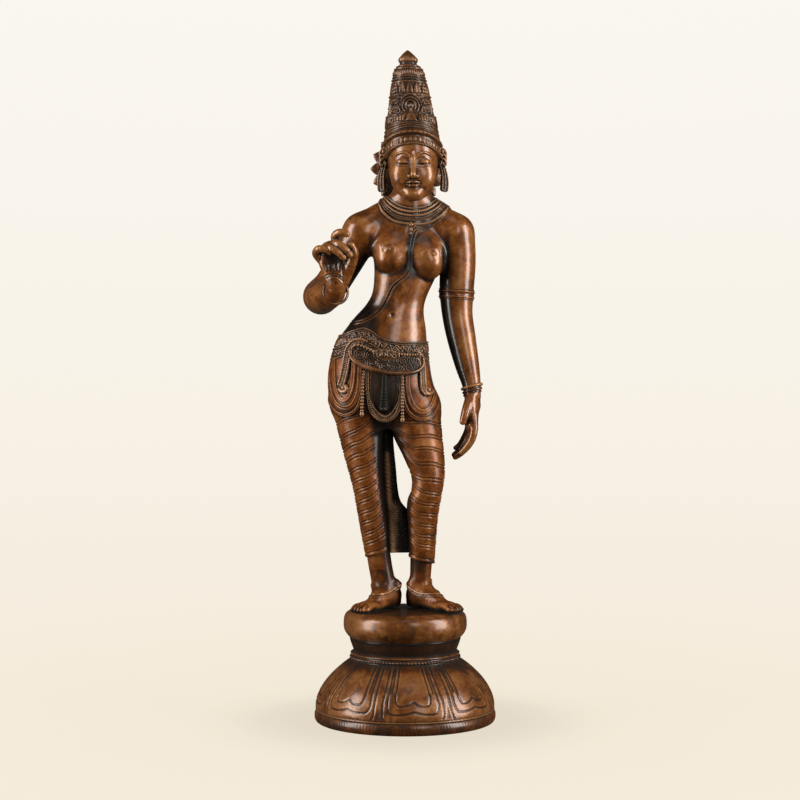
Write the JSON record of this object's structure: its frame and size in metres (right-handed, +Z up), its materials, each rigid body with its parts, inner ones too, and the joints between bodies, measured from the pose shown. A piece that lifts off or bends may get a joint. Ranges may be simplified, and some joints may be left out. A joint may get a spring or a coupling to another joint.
{
  "type": "parvati figure",
  "caption": "Standing goddess in cast bronze with a tall tiered crown, hips swayed, one hand raised and one hanging, fixed on a round lotus pedestal.",
  "frame": {"origin": "centre of the pedestal's round underside", "axes": "+Z up from the pedestal to the crown's tip; she faces -Y; +X is the viewer's right, so her raised right hand is on the -X side"},
  "size_m": [0.1742, 0.1642, 0.61],
  "materials": {
    "figure_bronze": "golden-brown patinated bronze, hand-polished on raised forms, near black in the carving",
    "pedestal_bronze": "brown patinated bronze, worn bright on edges, near black in the carving"
  },
  "bodies": {
    "root": {"parvati_figure": "figure_bronze", "lotus_pedestal": "pedestal_bronze"}
  },
  "joints": []
}
